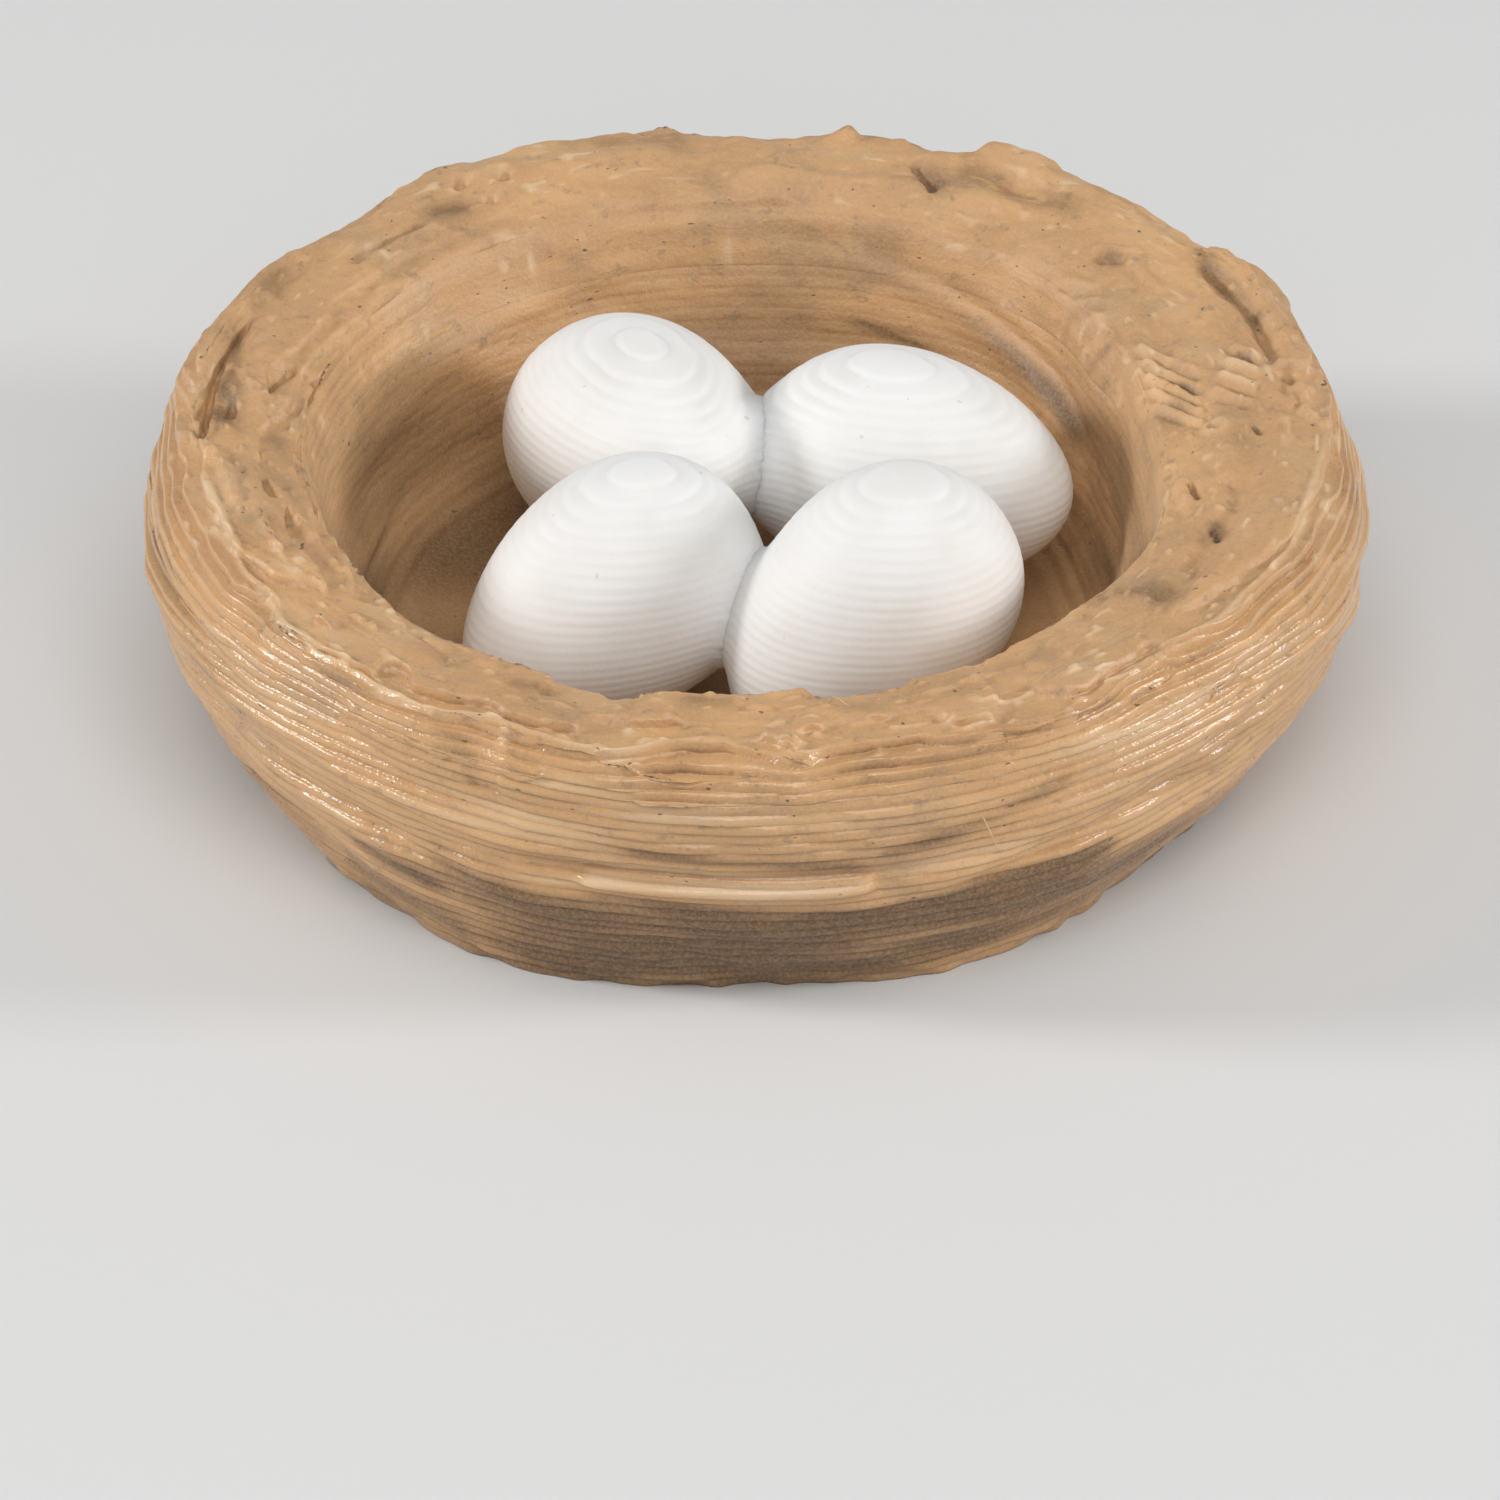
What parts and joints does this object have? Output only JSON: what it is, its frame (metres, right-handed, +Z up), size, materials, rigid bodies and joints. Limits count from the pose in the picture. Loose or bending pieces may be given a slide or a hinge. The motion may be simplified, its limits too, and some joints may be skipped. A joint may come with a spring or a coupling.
{
  "type": "miniature bird nest with eggs",
  "caption": "Small layer-printed bird nest: a round tan bowl with a rough rim and a hollow cup in which white eggs lie side by side.",
  "frame": {"origin": "middle of the nest's outline in plan, on the flat base", "axes": "+Z up out of the cup; -Y is the front, where the rim dips a little towards the viewer"},
  "size_m": [0.021, 0.0212, 0.0063],
  "materials": {
    "nest": "wood-filled filament, layer lines, faint satin sheen",
    "egg": "white filament, fine layer rings"
  },
  "bodies": {
    "root": {"nest": "nest", "egg_back_left": "egg", "egg_back_right": "egg", "egg_front_left": "egg", "egg_front_right": "egg"}
  },
  "joints": []
}
